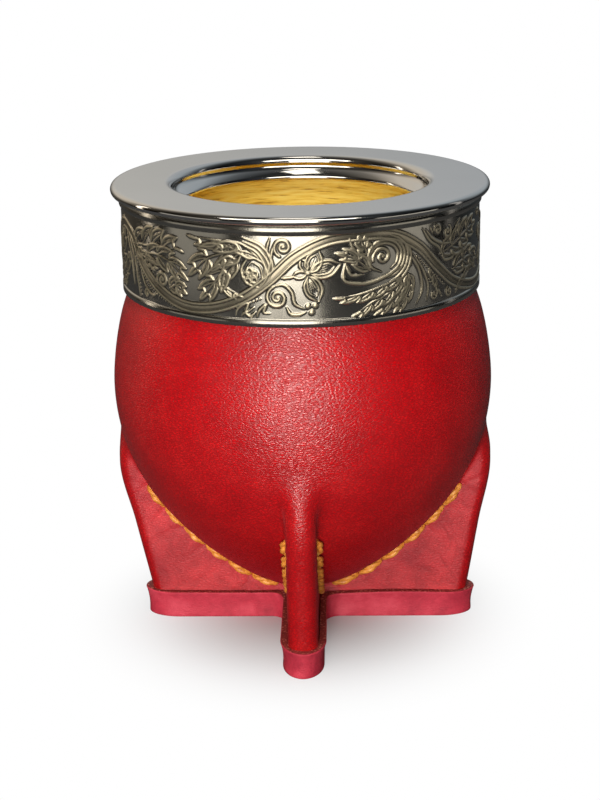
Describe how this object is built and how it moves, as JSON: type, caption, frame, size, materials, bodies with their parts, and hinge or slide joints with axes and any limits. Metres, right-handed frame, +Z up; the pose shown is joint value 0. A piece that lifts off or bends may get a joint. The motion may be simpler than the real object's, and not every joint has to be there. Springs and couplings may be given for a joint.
{
  "type": "leather-covered mate gourd cup",
  "caption": "Round gourd cup in a sewn leather cover that stands on a cross of leather fins, with an ornamented metal collar and a flat metal rim.",
  "frame": {"origin": "centre of the sole's underside, on the gourd's axis", "axes": "+Z up along the gourd's axis, -Y towards the front fin, +X towards the right fin"},
  "size_m": [0.0929, 0.0928, 0.112],
  "materials": {
    "gourd": "dry matt rind",
    "cover_leather": "waxed smooth",
    "sole_leather": "matt dyed",
    "collar_metal": "chased and polished nickel silver",
    "rim_metal": "mirror polished steel",
    "waxed_thread": "waxed"
  },
  "bodies": {
    "root": {"gourd_shell": "gourd", "leather_cover": "cover_leather", "leather_sole": "sole_leather", "collar_band": "collar_metal", "rim_ring": "rim_metal", "fin_thread_front": "waxed_thread", "fin_thread_right": "waxed_thread", "fin_thread_back": "waxed_thread", "fin_thread_left": "waxed_thread"}
  },
  "joints": []
}
